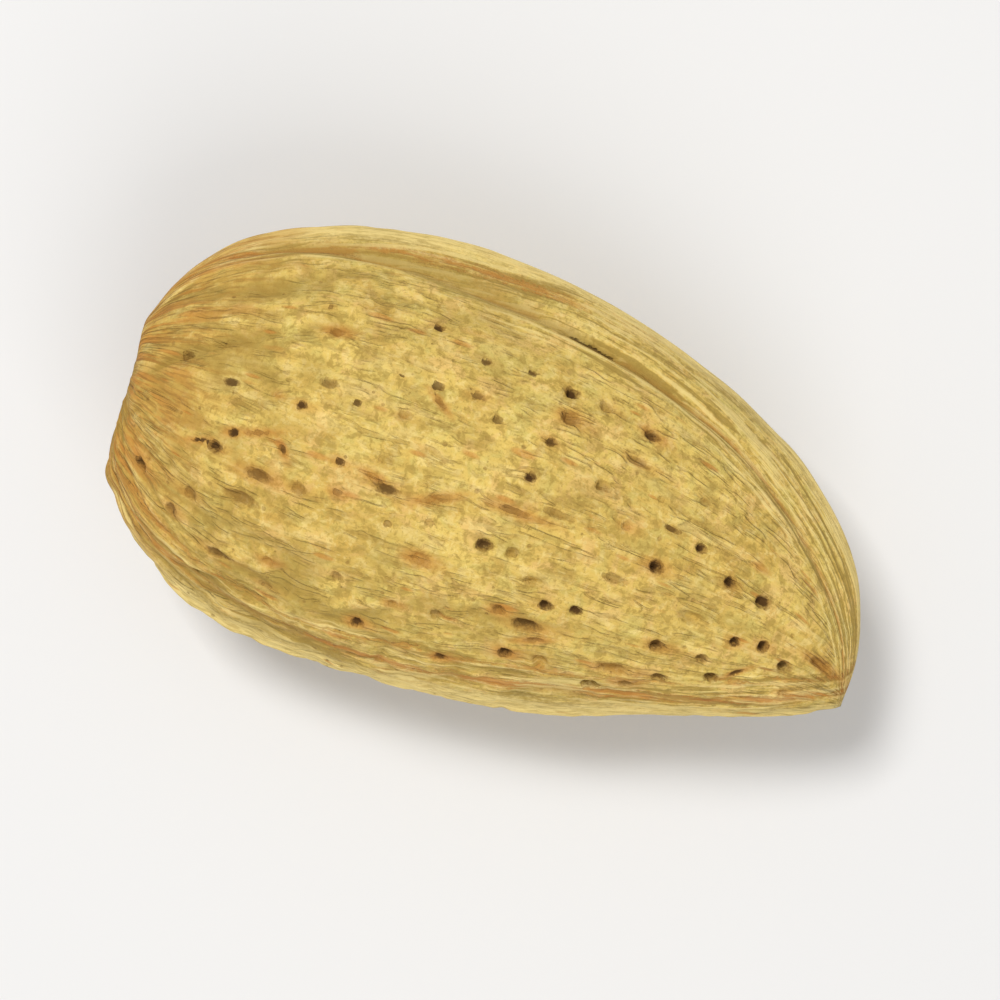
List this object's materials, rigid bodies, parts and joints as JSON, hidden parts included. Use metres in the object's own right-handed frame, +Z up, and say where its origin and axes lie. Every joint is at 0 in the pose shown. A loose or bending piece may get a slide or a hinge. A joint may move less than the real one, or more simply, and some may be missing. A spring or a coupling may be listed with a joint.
{
  "type": "almond in shell",
  "caption": "Whole almond in its closed shell: a flattened teardrop with a keeled edge, a blunt stem end, a pointed tip and pitted faces.",
  "frame": {"origin": "under the middle of the nut, on the plane that it rests on", "axes": "+X from the stem end to the tip, +Y towards the keeled ventral edge, +Z up out of the upper face"},
  "size_m": [0.036, 0.0206, 0.015],
  "materials": {
    "shell": "matt, fibrous straw-coloured nutshell with dark pits"
  },
  "bodies": {
    "root": {"almond_in_shell": "shell"}
  },
  "joints": []
}
